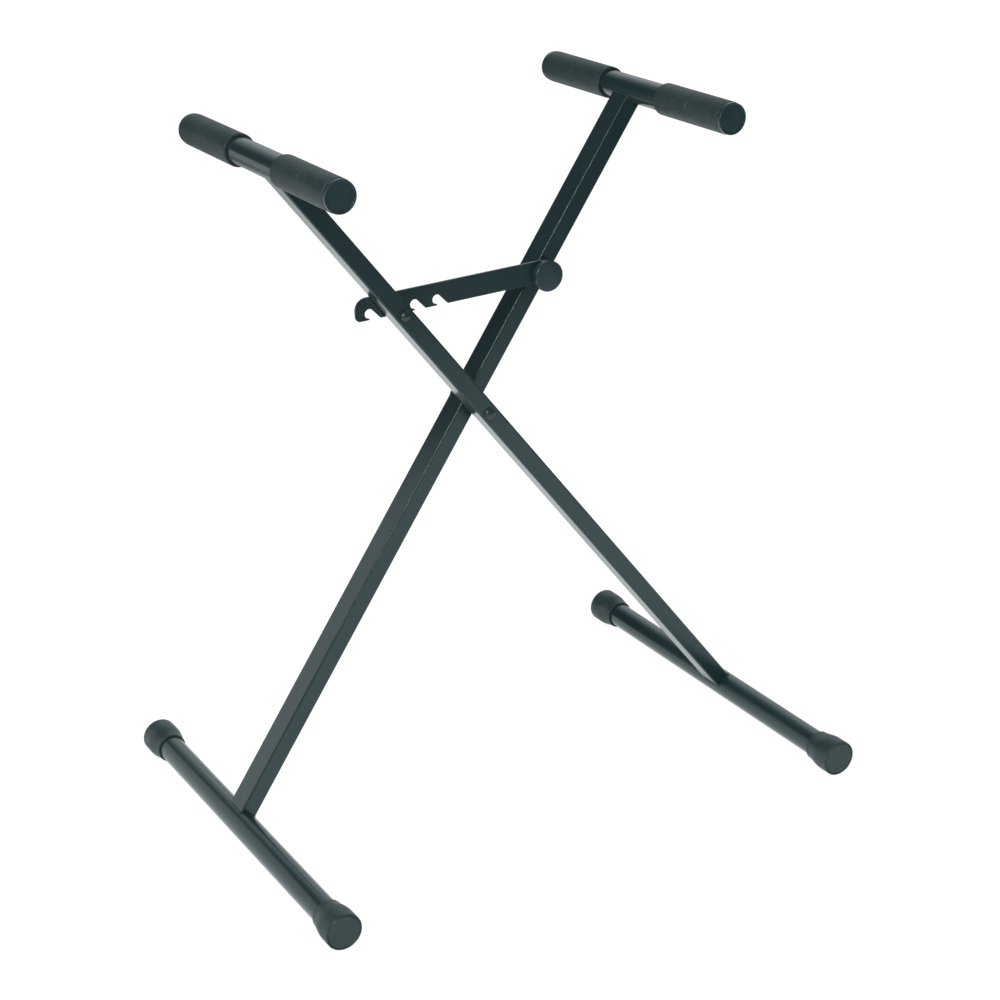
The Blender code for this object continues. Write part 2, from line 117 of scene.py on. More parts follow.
HOOK_SLANT = math.radians(48)
HOOK_TIP_R = 0.0009
PIN_SEAT = math.radians(35)
BAR_NOSE_R = 0.0140
BAR_NOSE_REACH = 0.0162
BAR_TOE_R = 0.0055

# Details that only the finish shows
SLEEVE_LINE_AT = 0.0590     # ring line, from the sleeve's inner end
SLEEVE_LINE_WIDE = 0.0012
SLEEVE_LINE_DEEP = 0.0003
CAP_LIP_R = 0.0012
CAP_GROOVE_IN = 0.0022      # fine line round the cap's face, in from its rim
CAP_GROOVE_WIDE = 0.0010
CAP_GROOVE_DEEP = 0.0006
WELD_R = 0.0011
WELD_PITCH = 0.0016
WELD_RIPPLE = 0.12          # depth of the ripples, as a share of the bead's radius
WELD_UNEVEN = 0.12
WELD_SEED = 4.0
WELD_GRAIN = 260.0          # bumps per metre that shift and swell the ripples
WELD_STEPS = 6              # for each ripple
WELD_SIDES = 14
WELD_OFF = 0.0003           # the bead's middle line, out from the leg's and the tube's faces
BAR_BEVEL = 0.00035
CLIP_BEVEL = 0.00012
RING_BEVEL = 0.0002
DOME_RIM = math.radians(11)     # where a bolt's dome starts above its seat
NUT_FACE_D = 0.98 * NUT_FLATS   # flat part of the nut's faces, inside its chamfer
NUT_CHAMFER = math.radians(28)
NUT_CONE_OVER = 0.0002
NUT_COLLAR_ROUND = 0.0008
NUT_COLLAR_SUNK = 0.0010

# The photograph's viewpoint
VIEW_FROM = (-1.08336, -1.98298, 1.29982)
VIEW_TURNS = (-0.5108, -0.4021, 0.0472)     # yaw, pitch and roll
VIEW_LENS = 77.988
VIEW_SENSOR = 36.0

# Studio: what the floor, backdrop and room look like to reflections, and the floor's own tone
FLOOR_REACH = 12.0
FLOOR_NEAR = 0.75
FLOOR_BEHIND = 0.86
FLOOR_FAR = 0.05
FLOOR_GLOW = 1.22
SHADOW_SHARE = 0.25
BACKDROP_RIGHT = 0.75
SIDE_WALL = 0.90
ROOM_DARK = 0.03
SKY = 0.55
MIRROR_TINT = (0.93, 1.0, 1.0)
PAINT_TINT = (0.52, 1.0, 1.0)       # of the paint's own reflections

# Where the mirrored floor fades: by distance from its middle, and by y behind the stand
NEAR_FADE = (1.15, 2.00)
BEHIND_FADE = (1.2, 1.9)
BEHIND_START = (-0.1, 0.4)

# Where the mirrored walls fade, by X, Y or Z of a reflected ray's direction
WALL_TOP = (0.60, 0.85)
WALL_FOOT = (0.10, 0.40)
WALL_RIGHT = (-0.25, 0.40)
WALL_BACK = (-0.1, 0.25)
SIDE_EDGE = (-0.92, -0.75)
SIDE_TOP = (0.35, 0.6)

# Lamps: name, place, target, size and watts, and whether they show only in reflections
LAMPS = (("soft_key", (-1.8, -1.2, 2.8), (0.0, 0.0, 0.4), (1.6, 1.6), 42, False),
         ("soft_fill", (2.2, 0.6, 2.2), (0.0, 0.0, 0.4), (1.8, 1.8), 26, False),
         ("white_card", (-1.15, 1.0, 0.41), (-1.15, 0.0, 0.41), (1.06, 0.82), 1.72, True))
STRIP_HIGH = (-0.97, -1.13, 1.88)
STRIP_LOW = (-1.57, -1.15, 1.04)
STRIP_TARGET = (0.0, 0.0, 0.45)
STRIP_WIDE = 0.25
STRIP_WATTS = 14

# Meshes
FINE = 96                   # segments round a piece
MEDIUM = 64
MERGE_WITHIN = 1e-6
SHARP_FROM = 32             # degrees between faces
PLATE_SHARP_FROM = 40
BEVEL_FROM = 50

# Places that follow from the sizes
RISE = math.sin(LEG_ANGLE)
RUN = math.cos(LEG_ANGLE)
FOOT_Z = CAP_D / 2
PIVOT_Z = FOOT_Z + PIVOT_UP * RISE
ARM_UP = LEG_LENGTH - PIVOT_UP
ARM_Z = PIVOT_Z + ARM_UP * RISE
FOOT_X = PIVOT_UP * RUN
ARM_X = ARM_UP * RUN
CATCH_Z = PIVOT_Z + CATCH_UP * RISE
CATCH_X = CATCH_UP * RUN
LEG_Y = (LEG_SPACE + LEG_DEPTH) / 2
LEG_INNER = LEG_SPACE / 2
LEG_OUTER = LEG_SPACE / 2 + LEG_DEPTH
BAR_FRONT = -LEG_INNER + BAR_OFF_LEG
BAR_BACK = BAR_FRONT + BAR_THICK


# Node helpers


def wire(tree, *links):
    """Link pairs of sockets."""
    for source, target in links:
        tree.links.new(source, target)


def node(tree, kind, **settings):
    """A new node with its settings."""
    made = tree.nodes.new(kind)
    for name, value in settings.items():
        setattr(made, name, value)
    return made


def sums(tree, operation, first, second=None, third=None):
    """A Math node whose inputs are numbers or sockets; returns its result."""
    made = node(tree, "ShaderNodeMath", operation=operation)
    for place, value in enumerate((first, second, third)):
        if value is None:
            continue
        if isinstance(value, (int, float)):
            made.inputs[place].default_value = value
        else:
            tree.links.new(value, made.inputs[place])
    return made.outputs[0]


# Finishes


def finish(name, colour, roughness, **sockets):
    """Start a material; returns it, its tree, its Principled shader and the piece's own coordinates."""
    mat = bpy.data.materials.new(name)
    mat.use_nodes = True
    mat.diffuse_color = (*colour, 1.0)
    tree = mat.node_tree
    shader = tree.nodes["Principled BSDF"]
    shader.inputs["Base Color"].default_value = (*colour, 1.0)
    shader.inputs["Roughness"].default_value = roughness
    for socket, value in sockets.items():
        shader.inputs[socket.replace("_", " ")].default_value = value
    return mat, tree, shader, node(tree, "ShaderNodeTexCoord").outputs["Object"]


def grain(tree, where, scale, detail=2.0, rough=0.5, stretch=None):
    """A noise on the piece's own coordinates, in bumps per metre."""
    place = where
    if stretch:
        mapping = node(tree, "ShaderNodeMapping")
        mapping.inputs["Scale"].default_value = stretch
        tree.links.new(where, mapping.inputs["Vector"])
        place = mapping.outputs["Vector"]
    noise = node(tree, "ShaderNodeTexNoise")
    noise.inputs["Scale"].default_value = scale
    noise.inputs["Detail"].default_value = detail
    noise.inputs["Roughness"].default_value = rough
    tree.links.new(place, noise.inputs["Vector"])
    return noise.outputs["Fac"]


def spread(tree, value, low, high, to_low=0.0, to_high=1.0):
    """Map a value from one range to another, held at the ends."""
    made = node(tree, "ShaderNodeMapRange")
    made.inputs["From Min"].default_value = low
    made.inputs["From Max"].default_value = high
    made.inputs["To Min"].default_value = to_low
    made.inputs["To Max"].default_value = to_high
    tree.links.new(value, made.inputs["Value"])
    return made.outputs["Result"]


def colour_sockets(sockets):
    """The sockets of a Mix node that carry colour."""
    return [socket for socket in sockets if socket.type == "RGBA"]


def two_tone(tree, factor, dark, light):
    """Mix two colours by a factor from 0 to 1."""
    mix = node(tree, "ShaderNodeMix", data_type="RGBA")
    for socket, colour in zip(colour_sockets(mix.inputs), (dark, light)):
        socket.default_value = (*colour, 1.0)
    tree.links.new(factor, mix.inputs["Factor"])
    return colour_sockets(mix.outputs)[0]


def bumps(tree, shader, *layers):
    """Stack bump layers of (height, strength, depth in metres) on a shader's normal."""
    normal = None
    for height, strength, depth in layers:
        bump = node(tree, "ShaderNodeBump")
        bump.inputs["Strength"].default_value = strength
        bump.inputs["Distance"].default_value = depth
        tree.links.new(height, bump.inputs["Height"])
        if normal:
            tree.links.new(normal, bump.inputs["Normal"])
        normal = bump.outputs["Normal"]
    tree.links.new(normal, shader.inputs["Normal"])


def semi_gloss_paint():
    """Green-black stove paint: a glossy skin with faint orange peel, uneven gloss and specks of dust."""
    mat, tree, shader, where = finish("semi_gloss_black_paint", (0.012, 0.031, 0.036), 0.32, IOR=1.42,
                                      Coat_Weight=1.0, Coat_IOR=1.5, Specular_Tint=(*PAINT_TINT, 1.0))
    cloud = grain(tree, where, 9.0, 3.0)
    peel = grain(tree, where, 620.0, 1.5)
    specks = grain(tree, where, 2600.0, 1.0)
    tone = two_tone(tree, spread(tree, cloud, 0.35, 0.65), (0.010, 0.028, 0.033), (0.014, 0.034, 0.039))
    dust = two_tone(tree, spread(tree, specks, 0.70, 0.78, 0.0, 0.5), (0.0, 0.0, 0.0), (0.05, 0.06, 0.06))
    add = node(tree, "ShaderNodeMix", data_type="RGBA", blend_type="ADD")
    add.inputs["Factor"].default_value = 1.0
    wire(tree, *zip((tone, dust), colour_sockets(add.inputs)),
         (colour_sockets(add.outputs)[0], shader.inputs["Base Color"]),
         (spread(tree, cloud, 0.3, 0.7, 0.28, 0.38), shader.inputs["Roughness"]),
         (spread(tree, cloud, 0.3, 0.7, 0.14, 0.22), shader.inputs["Coat Roughness"]))
    bumps(tree, shader, (peel, 0.22, 0.00012), (specks, 0.10, 0.00004))
    return mat


def satin_cap_rubber():
    """Moulded foot rubber: satin skin, faint flow marks and fine pores."""
    mat, tree, shader, where = finish("satin_cap_rubber", (0.015, 0.034, 0.038), 0.40, IOR=1.55)
    cloud = grain(tree, where, 55.0, 4.0, 0.6)
    pores = grain(tree, where, 1800.0, 2.0)
    flow = grain(tree, where, 160.0, 2.0, stretch=(1.0, 0.25, 1.0))
    tone = two_tone(tree, spread(tree, cloud, 0.3, 0.7), (0.018, 0.041, 0.045), (0.029, 0.056, 0.060))
    wire(tree, (tone, shader.inputs["Base Color"]),
         (spread(tree, flow, 0.3, 0.7, 0.30, 0.46), shader.inputs["Roughness"]))
    bumps(tree, shader, (flow, 0.15, 0.0003), (pores, 0.30, 0.00008))
    return mat


def matte_sleeve_rubber():
    """Soft sleeve rubber: dull sheen, finely grained and lightly scuffed."""
    mat, tree, shader, where = finish("matte_sleeve_rubber", (0.016, 0.036, 0.040), 0.46, IOR=1.6)
    cloud = grain(tree, where, 38.0, 4.0, 0.6)
    mottle = grain(tree, where, 480.0, 2.0, 0.7)
    skin = grain(tree, where, 900.0, 3.0, 0.6)
    turned_lines = grain(tree, where, 700.0, 1.0, stretch=(0.06, 1.0, 0.06))
    both = sums(tree, "MULTIPLY_ADD", cloud, 0.35, sums(tree, "MULTIPLY", mottle, 0.65))
    tone = two_tone(tree, spread(tree, both, 0.35, 0.65), (0.011, 0.031, 0.035), (0.035, 0.059, 0.063))
    wire(tree, (tone, shader.inputs["Base Color"]),
         (spread(tree, skin, 0.3, 0.7, 0.38, 0.56), shader.inputs["Roughness"]))
    bumps(tree, shader, (turned_lines, 0.30, 0.00016), (skin, 0.70, 0.00026))
    return mat


def moulded_plastic():
    """End plugs and knob: fine spark-eroded texture with a soft shine."""
    mat, tree, shader, where = finish("moulded_plastic", (0.012, 0.031, 0.037), 0.30, IOR=1.5,
                                      Coat_Weight=0.5, Coat_Roughness=0.22)
    cloud = grain(tree, where, 70.0, 3.0)
    spark = grain(tree, where, 2400.0, 2.0, 0.7)
    tone = two_tone(tree, spread(tree, cloud, 0.3, 0.7), (0.014, 0.040, 0.047), (0.023, 0.053, 0.060))
    wire(tree, (tone, shader.inputs["Base Color"]),
         (spread(tree, spark, 0.3, 0.7, 0.26, 0.38), shader.inputs["Roughness"]))
    bumps(tree, shader, (spark, 0.30, 0.00006))
    return mat


def washer_nylon():
    """Pivot washers: plain black nylon, slightly waxy."""
    mat, tree, shader, where = finish("washer_nylon", (0.012, 0.024, 0.027), 0.42, IOR=1.5)
    cloud = grain(tree, where, 240.0, 3.0)
    tone = two_tone(tree, spread(tree, cloud, 0.3, 0.7), (0.010, 0.020, 0.023), (0.018, 0.030, 0.033))
    wire(tree, (tone, shader.inputs["Base Color"]),
         (spread(tree, cloud, 0.3, 0.7, 0.36, 0.50), shader.inputs["Roughness"]))
    bumps(tree, shader, (grain(tree, where, 1600.0), 0.12, 0.00005))
    return mat


def blackened_steel():
    """Fasteners and spacers: green-black coated steel, rubbed a little paler in patches."""
    mat, tree, shader, where = finish("blackened_steel", (0.016, 0.036, 0.040), 0.30, IOR=1.7)
    patches = grain(tree, where, 420.0, 4.0, 0.65)
    scratches = grain(tree, where, 3000.0, 2.0, stretch=(1.0, 0.1, 1.0))
    tone = two_tone(tree, spread(tree, patches, 0.4, 0.75), (0.014, 0.033, 0.037), (0.045, 0.066, 0.068))
    wire(tree, (tone, shader.inputs["Base Color"]),
         (spread(tree, patches, 0.3, 0.7, 0.24, 0.38), shader.inputs["Roughness"]),
         (spread(tree, patches, 0.45, 0.8, 0.0, 0.5), shader.inputs["Metallic"]))
    bumps(tree, shader, (scratches, 0.12, 0.00003))
    return mat


PAINT = semi_gloss_paint()
CAP_RUBBER = satin_cap_rubber()
SLEEVE_RUBBER = matte_sleeve_rubber()
PLASTIC = moulded_plastic()
NYLON = washer_nylon()
STEEL = blackened_steel()
SLOT_FINISH = {"paint": PAINT, "cap_rubber": CAP_RUBBER, "sleeve_rubber": SLEEVE_RUBBER,
               "plug_plastic": PLASTIC, "washer_plastic": NYLON, "bolt_steel": STEEL}


# Geometry Nodes trees


def new_tree(name, inputs):
    """A geometry tree with named inputs of (name, kind, value); returns it and its group input."""
    tree = bpy.data.node_groups.new(name, "GeometryNodeTree")
    tree.interface.new_socket("Geometry", in_out="OUTPUT", socket_type="NodeSocketGeometry")
    tree.interface.new_socket("Geometry", in_out="INPUT", socket_type="NodeSocketGeometry")
    for label, kind, value in inputs:
        socket = tree.interface.new_socket(label, in_out="INPUT", socket_type="NodeSocket" + kind)
        if value is not None:
            socket.default_value = value
    return tree, node(tree, "NodeGroupInput")


def end_tree(tree, geometry, entry):
    """Close a tree with Realize Instances, Set Shade Smooth and Set Material."""
    realize = node(tree, "GeometryNodeRealizeInstances")
    smooth = node(tree, "GeometryNodeSetShadeSmooth")
    paint = node(tree, "GeometryNodeSetMaterial")
    leave = node(tree, "NodeGroupOutput")
    wire(tree, (geometry, realize.inputs[0]), (realize.outputs[0], smooth.inputs["Geometry"]),
         (smooth.outputs[0], paint.inputs["Geometry"]), (paint.outputs[0], leave.inputs[0]),
         (entry.outputs["Material"], paint.inputs["Material"]))


def turning_tree():
    """Turns a profile, drawn as radius in X and length in Y, about an axis along Y."""
    tree, entry = new_tree("turned_piece", [
        ("Segments", "Int", FINE), ("Place", "Vector", (0, 0, 0)), ("Facing", "Float", 1.0),
        ("Material", "Material", None)])
    count = node(tree, "GeometryNodeAttributeDomainSize", component="MESH")
    grid = node(tree, "GeometryNodeMeshGrid")
    index = node(tree, "GeometryNodeInputIndex").outputs[0]
    wire(tree, (entry.outputs["Geometry"], count.inputs[0]),
         (sums(tree, "ADD", entry.outputs["Segments"], 1), grid.inputs["Vertices X"]),
         (count.outputs["Point Count"], grid.inputs["Vertices Y"]))
    column = sums(tree, "FLOOR", sums(tree, "DIVIDE", index, count.outputs["Point Count"]))
    row = sums(tree, "MODULO", index, count.outputs["Point Count"])
    profile = node(tree, "GeometryNodeSampleIndex", data_type="FLOAT_VECTOR", domain="POINT")
    wire(tree, (entry.outputs["Geometry"], profile.inputs["Geometry"]),
         (node(tree, "GeometryNodeInputPosition").outputs[0], profile.inputs["Value"]),
         (row, profile.inputs["Index"]))
    parts = node(tree, "ShaderNodeSeparateXYZ")
    wire(tree, (profile.outputs[0], parts.inputs[0]))
    angle = sums(tree, "MULTIPLY", sums(tree, "DIVIDE", column, entry.outputs["Segments"]), math.tau)
    point = node(tree, "ShaderNodeCombineXYZ")
    wire(tree, (sums(tree, "MULTIPLY", parts.outputs["X"], sums(tree, "COSINE", angle)), point.inputs["X"]),
         (sums(tree, "MULTIPLY", parts.outputs["Y"], entry.outputs["Facing"]), point.inputs["Y"]),
         (sums(tree, "MULTIPLY", parts.outputs["X"], sums(tree, "SINE", angle)), point.inputs["Z"]))
    shift = node(tree, "ShaderNodeVectorMath", operation="ADD")
    wire(tree, (point.outputs[0], shift.inputs[0]), (entry.outputs["Place"], shift.inputs[1]))
    place = node(tree, "GeometryNodeSetPosition")
    wire(tree, (grid.outputs["Mesh"], place.inputs["Geometry"]),
         (shift.outputs[0], place.inputs["Position"]))
    merge = node(tree, "GeometryNodeMergeByDistance")
    merge.inputs["Distance"].default_value = MERGE_WITHIN
    wire(tree, (place.outputs[0], merge.inputs["Geometry"]))
    end_tree(tree, merge.outputs[0], entry)
    return tree


def weld_tree():
    """Lays a rippled bead along a closed line."""
    tree, entry = new_tree("weld_bead", [
        ("Radius", "Float", WELD_R), ("Ripple pitch", "Float", WELD_PITCH),
        ("Ripple depth", "Float", WELD_RIPPLE), ("Unevenness", "Float", WELD_UNEVEN),
        ("Seed", "Float", WELD_SEED), ("Material", "Material", None)])
    path = node(tree, "GeometryNodeMeshToCurve")
    even = node(tree, "GeometryNodeResampleCurve", mode="LENGTH")
    wire(tree, (entry.outputs["Geometry"], path.inputs["Mesh"]), (path.outputs[0], even.inputs["Curve"]),
         (sums(tree, "DIVIDE", entry.outputs["Ripple pitch"], WELD_STEPS), even.inputs["Length"]))
    along = node(tree, "GeometryNodeSplineParameter").outputs["Length"]
    noise = node(tree, "ShaderNodeTexNoise", noise_dimensions="4D")
    noise.inputs["Scale"].default_value = WELD_GRAIN
    noise.inputs["Detail"].default_value = 1.0
    wire(tree, (node(tree, "GeometryNodeInputPosition").outputs[0], noise.inputs["Vector"]),
         (entry.outputs["Seed"], noise.inputs["W"]))
    wander = sums(tree, "SUBTRACT", noise.outputs["Fac"], 0.5)
    ripples = sums(tree, "DIVIDE", along, entry.outputs["Ripple pitch"])
    phase = sums(tree, "FRACT", sums(tree, "ADD", ripples, wander))
    crest = sums(tree, "SQRT", sums(tree, "SUBTRACT", 1.0, phase))
    ripple = sums(tree, "MULTIPLY", sums(tree, "SUBTRACT", crest, 0.5), entry.outputs["Ripple depth"])
    uneven = sums(tree, "MULTIPLY", wander, entry.outputs["Unevenness"])
    width = sums(tree, "MULTIPLY", entry.outputs["Radius"],
                 sums(tree, "ADD", 1.0, sums(tree, "ADD", ripple, uneven)))
    rim = node(tree, "GeometryNodeCurvePrimitiveCircle", mode="RADIUS")
    rim.inputs["Resolution"].default_value = WELD_SIDES
    rim.inputs["Radius"].default_value = 1.0
    sweep = node(tree, "GeometryNodeCurveToMesh")
    wire(tree, (even.outputs[0], sweep.inputs["Curve"]), (width, sweep.inputs["Scale"]),
         (rim.outputs["Curve"], sweep.inputs["Profile Curve"]))
    end_tree(tree, sweep.outputs[0], entry)
    return tree


TURNING = turning_tree()
WELDING = weld_tree()


def new_object(name, data):
    """An object linked to the scene."""
    obj = bpy.data.objects.new(name, data)
    bpy.context.scene.collection.objects.link(obj)
    return obj


def line_mesh(name, loops):
    """A mesh of plain lines; each loop is (points, closed)."""
    points = []
    edges = []
    for loop, closed in loops:
        first = len(points)
        points += [Vector(p) for p in loop]
        edges += [(first + i, first + i + 1) for i in range(len(loop) - 1)]
        if closed:
            edges.append((len(points) - 1, first))
    mesh = bpy.data.meshes.new(name)
    mesh.from_pydata(points, edges, [])
    return mesh


def grow(name, lines, tree, values):
    """Run a tree on a line mesh and keep its result as a plain mesh."""
    obj = new_object(name, lines)
    nodes = obj.modifiers.new(tree.name, "NODES")
    nodes.node_group = tree
    for item in tree.interface.items_tree:
        if item.in_out == "INPUT" and item.name in values:
            nodes[item.identifier] = values[item.name]
    settle(obj)
    return obj


def bake(obj):
    """Replace an object's mesh by its evaluated one and drop its modifiers."""
    bpy.context.view_layer.update()
    evaluated = obj.evaluated_get(bpy.context.evaluated_depsgraph_get())
    mesh = bpy.data.meshes.new_from_object(evaluated)
    mesh.name = obj.name
    obj.modifiers.clear()
    obj.data = mesh
    return mesh


def settle(obj, sharp=SHARP_FROM):
    """Bake an object, turn its faces outward and mark its sharp edges."""
    mesh = bake(obj)
    bm = bmesh.new()
    bm.from_mesh(mesh)
    bmesh.ops.recalc_face_normals(bm, faces=bm.faces)
    bm.to_mesh(mesh)
    bm.free()
    mesh.shade_smooth()
    mesh.set_sharp_from_angle(angle=math.radians(sharp))


# Outlines


def arc(centre, radius, start, end, steps):
    """Points along an arc, from one angle to another."""
    points = []
    for i in range(steps + 1):
        a = start + (end - start) * i / steps
        points.append((centre[0] + radius * math.cos(a), centre[1] + radius * math.sin(a)))
    return points


def turned(name, profile, place, mat, facing=1.0, segments=FINE):
    """One turned piece from a profile of (radius, along), closed if it starts off the axis."""
    points = [(r, along, 0.0) for r, along in profile]
    if profile[0][0] > 0:
        points.append(points[0])
    lines = line_mesh(name, [(points, False)])
    return grow(name, lines, TURNING, {"Segments": segments, "Place": Vector(place),
                                       "Facing": float(facing), "Material": mat})


def ring_profile(outer, bore, low, high, bevel=RING_BEVEL):
    """Washer or spacer section with small bevels."""
    return [(bore, low + bevel), (bore + bevel, low), (outer - bevel, low), (outer, low + bevel),
            (outer, high - bevel), (outer - bevel, high), (bore + bevel, high), (bore, high - bevel)]


def cap_profile():
    """Bell cap, from its blind bore round the lip and down the flare to the outer face."""
    lip = CAP_COLLAR_D / 2
    widest = CAP_D / 2
    bore = FOOT_TUBE_D / 2 + GAP
    steps = 28
    profile = [(0, CAP_FLOOR), (bore, CAP_FLOOR), (bore, CAP_LENGTH)]
    profile += arc((lip - CAP_LIP_R, CAP_LENGTH - CAP_LIP_R), CAP_LIP_R, math.pi / 2, 0, 6)
    for i in range(1, steps + 1):
        u = i / steps
        swell = (1 - math.cos(math.pi * u)) / 2
        profile.append((lip + (widest - lip) * swell, CAP_LENGTH - CAP_FLARE * u))
    profile += arc((widest - CAP_ROUND, CAP_ROUND), CAP_ROUND, 0, -math.pi / 2, 8)
    groove = widest - CAP_GROOVE_IN
    half = CAP_GROOVE_WIDE / 2
    profile += [(groove + half, 0), (groove, CAP_GROOVE_DEEP), (groove - half, 0), (0, 0)]
    return profile


def sleeve_profile():
    """Sleeve from its outer end, with the ring line set in from its inner end."""
    bore = ARM_TUBE_D / 2 + GAP
    outer = SLEEVE_D / 2
    r = SLEEVE_ROUND
    line = SLEEVE_LENGTH - SLEEVE_LINE_AT
    half = SLEEVE_LINE_WIDE / 2
    profile = [(bore, 0)]
    profile += arc((outer - r, r), r, -math.pi / 2, 0, 5)
    profile += [(outer, line - half), (outer - SLEEVE_LINE_DEEP, line - half / 3),
                (outer - SLEEVE_LINE_DEEP, line + half / 3), (outer, line + half)]
    profile += arc((outer - r, SLEEVE_LENGTH - r), r, 0, math.pi / 2, 5)
    profile.append((bore, SLEEVE_LENGTH))
    return profile


def plug_profile():
    """End plug, from its hollow stem round the flange to the dished face."""
    flange = SLEEVE_D / 2 - PLUG_INSET
    stem = ARM_TUBE_D / 2 - TUBE_WALL - GAP
    depth = PLUG_FLANGE + PLUG_STEM
    dish = flange - PLUG_RIM
    profile = [(0, PLUG_FLANGE), (stem - PLUG_WALL, PLUG_FLANGE), (stem - PLUG_WALL, depth), (stem, depth),
               (stem, PLUG_FLANGE), (flange, PLUG_FLANGE)]
    profile += arc((flange - PLUG_CHAMFER, PLUG_CHAMFER), PLUG_CHAMFER, 0, -math.pi / 2, 4)
    profile += arc((dish + PLUG_RECESS, PLUG_RECESS), PLUG_RECESS, -math.pi / 2, -math.pi, 4)
    profile += [(0, PLUG_RECESS)]
    return profile


def knob_profile():
    """Round knob in world y, from its blind bore to its rounded front."""
    r = KNOB_D / 2
    back = BAR_FRONT - GAP
    front = back - KNOB_THICK
    bore = BOLT_D / 2 + GAP
    profile = [(0, back - KNOB_BORE_DEPTH), (bore, back - KNOB_BORE_DEPTH), (bore, back),
               (r - RING_BEVEL, back), (r, back - RING_BEVEL)]
    profile += arc((r - KNOB_ROUND, front + KNOB_ROUND), KNOB_ROUND, 0, -math.pi / 2, 8)
    profile.append((0, front))
    return profile


def bolt_profile(shank_d, head_d, head_high, seat, reach, facing, groove=None):
    """Domed bolt from its tip to the top of its head, in world y."""
    head_r = head_d / 2
    shank = shank_d / 2
    steps = 12
    profile = [(0, reach), (shank - EDGE_CHAMFER, reach), (shank, reach + facing * EDGE_CHAMFER)]
    if groove:
        neck = CLIP_GROOVE_D / 2
        profile += [(shank, groove[1]), (neck, groove[1]), (neck, groove[0]), (shank, groove[0])]
    profile += [(shank, seat), (head_r, seat)]
    for i in range(steps):
        a = DOME_RIM + (math.pi / 2 - DOME_RIM) * i / steps
        profile.append((head_r * math.cos(a), seat + facing * head_high * math.sin(a)))
    profile.append((0, seat + facing * head_high))
    return profile


# Solid cutting


def solid(name, outline, low, high, mat):
    """Extrude an outline of (x, z) points between two values of y."""
    bm = bmesh.new()
    front = [bm.verts.new((x, low, z)) for x, z in outline]
    back = [bm.verts.new((x, high, z)) for x, z in outline]
    bm.faces.new(front)
    bm.faces.new(list(reversed(back)))
    for i in range(len(outline)):
        j = (i + 1) % len(outline)
        bm.faces.new((front[j], front[i], back[i], back[j]))
    return mesh_object(name, bm, mat)


def mesh_object(name, bm, mat):
    """Turn a bmesh into an object with one material."""
    bmesh.ops.recalc_face_normals(bm, faces=bm.faces)
    mesh = bpy.data.meshes.new(name)
    bm.to_mesh(mesh)
    bm.free()
    mesh.materials.append(mat)
    return new_object(name, mesh)


def carve(obj, tool, operation="DIFFERENCE"):
    """Apply one Boolean and throw its tool away."""
    mod = obj.modifiers.new("carve", "BOOLEAN")
    mod.operation = operation
    mod.solver = "EXACT"
    mod.object = tool
    settle(obj)
    bpy.data.objects.remove(tool, do_unlink=True)


def round_tool(radius, length, place):
    """A plain cylinder along Y, to cut holes with."""
    return turned("tool", [(0, -length / 2), (radius, -length / 2), (radius, length / 2), (0, length / 2)],
                  place, PAINT, segments=MEDIUM)


def hexagon(across, low, high, place):
    """Hexagon prism along Y, by its width across flats."""
    corners = arc((0, 0), across / math.sqrt(3), 0, math.pi * 5 / 3, 5)
    points = [(place[0] + x, place[2] + z) for x, z in corners]
    return solid("hexagon", points, place[1] + low, place[1] + high, STEEL)


def rounded_rectangle(width, depth, corner, steps):
    """Outline about the origin, counter-clockwise."""
    quarter = math.pi / 2
    points = []
    for k, (sx, sy) in enumerate(((1, 1), (-1, 1), (-1, -1), (1, -1))):
        centre = (sx * (width / 2 - corner), sy * (depth / 2 - corner))
        points += arc(centre, corner, k * quarter, (k + 1) * quarter, steps)
    return points


def even_shading(obj):
    """Keep broad flats flat where they meet a rounded corner."""
    weighted = obj.modifiers.new("weighted", "WEIGHTED_NORMAL")
    weighted.keep_sharp = True
    weighted.weight = 100
    bake(obj)


# The stand's pieces


def show(obj, body, slot_name, *nodes):
    """Ride a piece on its body in place of the frame nodes it stands for."""
    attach(obj, body)
    if nodes:
        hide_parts(*nodes)


def leg_direction(side):
    """Unit vectors up a leg and across it in the folding plane."""
    return Vector((side * RUN, 0, RISE)), Vector((RISE, 0, -side * RUN))


def leg_tube(label, side, body):
    """One leg, coped to its foot and arm tubes and bored for its bolts."""
    up, across = leg_direction(side)
    pivot = Vector((0, side * LEG_Y, PIVOT_Z))
    outer = rounded_rectangle(LEG_WIDTH, LEG_DEPTH, LEG_CORNER, 8)
    inner = rounded_rectangle(LEG_WIDTH - 2 * LEG_WALL, LEG_DEPTH - 2 * LEG_WALL, LEG_CORNER_INSIDE, 8)
    bm = bmesh.new()
    loops = []
    for outline, along in ((outer, -PIVOT_UP), (outer, ARM_UP), (inner, ARM_UP), (inner, -PIVOT_UP)):
        loops.append([bm.verts.new(pivot + across * x + Vector((0, y, 0)) + up * along)
                      for x, y in outline])
    for one, two in zip(loops, loops[1:] + loops[:1]):
        for i in range(len(outer)):
            j = (i + 1) % len(outer)
            bm.faces.new((one[i], one[j], two[j], two[i]))
    leg = mesh_object(label + "_leg_tube", bm, PAINT)
    through = 2 * LEG_DEPTH
    catch_hole = (PIN_HOLE_D if side < 0 else BOLT_HOLE_D) / 2
    for radius, x, z in ((FOOT_TUBE_D / 2 + GAP, -side * FOOT_X, FOOT_Z),
                         (ARM_TUBE_D / 2 + GAP, side * ARM_X, ARM_Z),
                         (BOLT_HOLE_D / 2, 0, PIVOT_Z), (catch_hole, side * CATCH_X, CATCH_Z)):
        carve(leg, round_tool(radius, through, (x, side * LEG_Y, z)))
    even_shading(leg)
    show(leg, body, "paint", label + "_leg")


